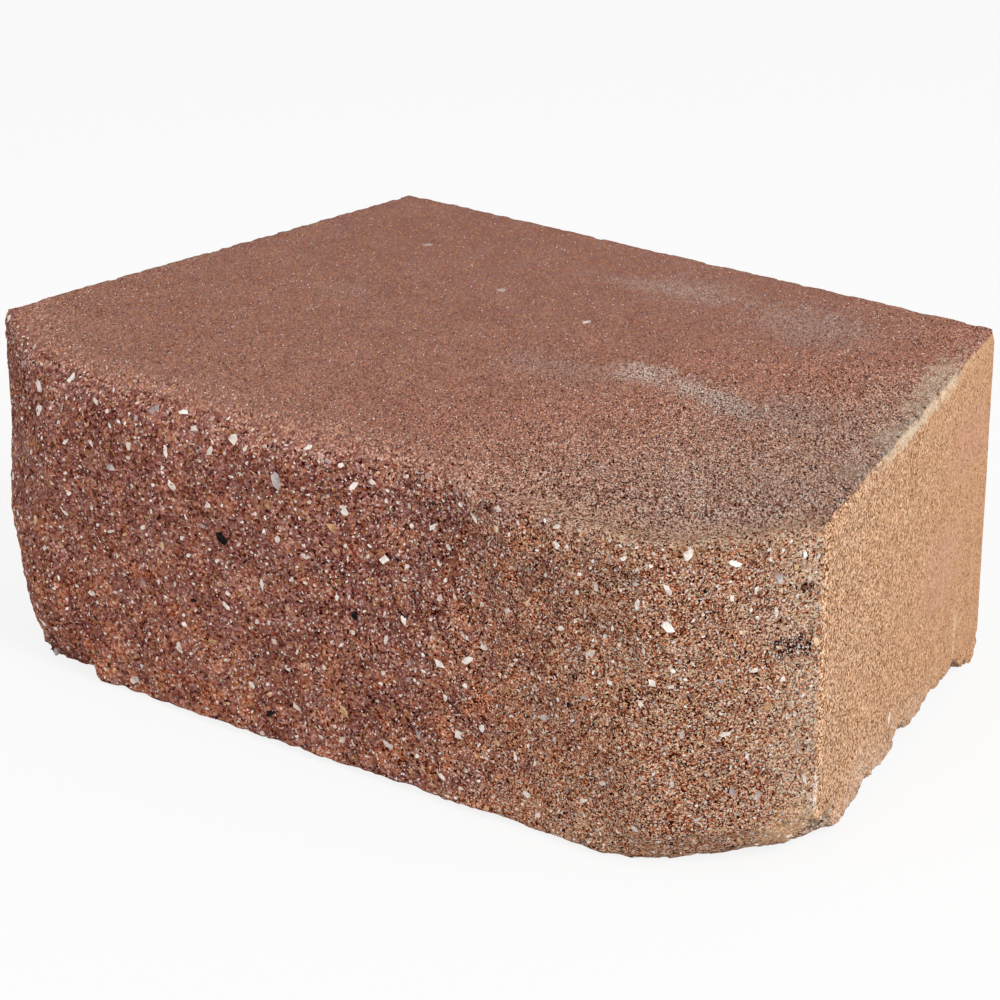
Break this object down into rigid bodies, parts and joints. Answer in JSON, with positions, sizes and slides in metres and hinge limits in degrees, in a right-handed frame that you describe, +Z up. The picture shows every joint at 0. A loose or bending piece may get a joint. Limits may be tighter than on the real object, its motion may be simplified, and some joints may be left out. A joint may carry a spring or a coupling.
{
  "type": "retaining wall block",
  "caption": "Split-face concrete block with bevelled front corners, sides that taper to the back and a lip under the rear edge that sets each course back on the one below.",
  "frame": {"origin": "middle of the bed face, halfway between the sides and halfway between the brow of the split face and the back", "axes": "+X across the block to the right of someone facing the split face, +Y from the split face to the back, +Z up through the courses"},
  "size_m": [0.2944, 0.1999, 0.109],
  "materials": {
    "concrete": "rough split concrete, unsealed"
  },
  "bodies": {
    "root": {"wall_block": "concrete"}
  },
  "joints": []
}
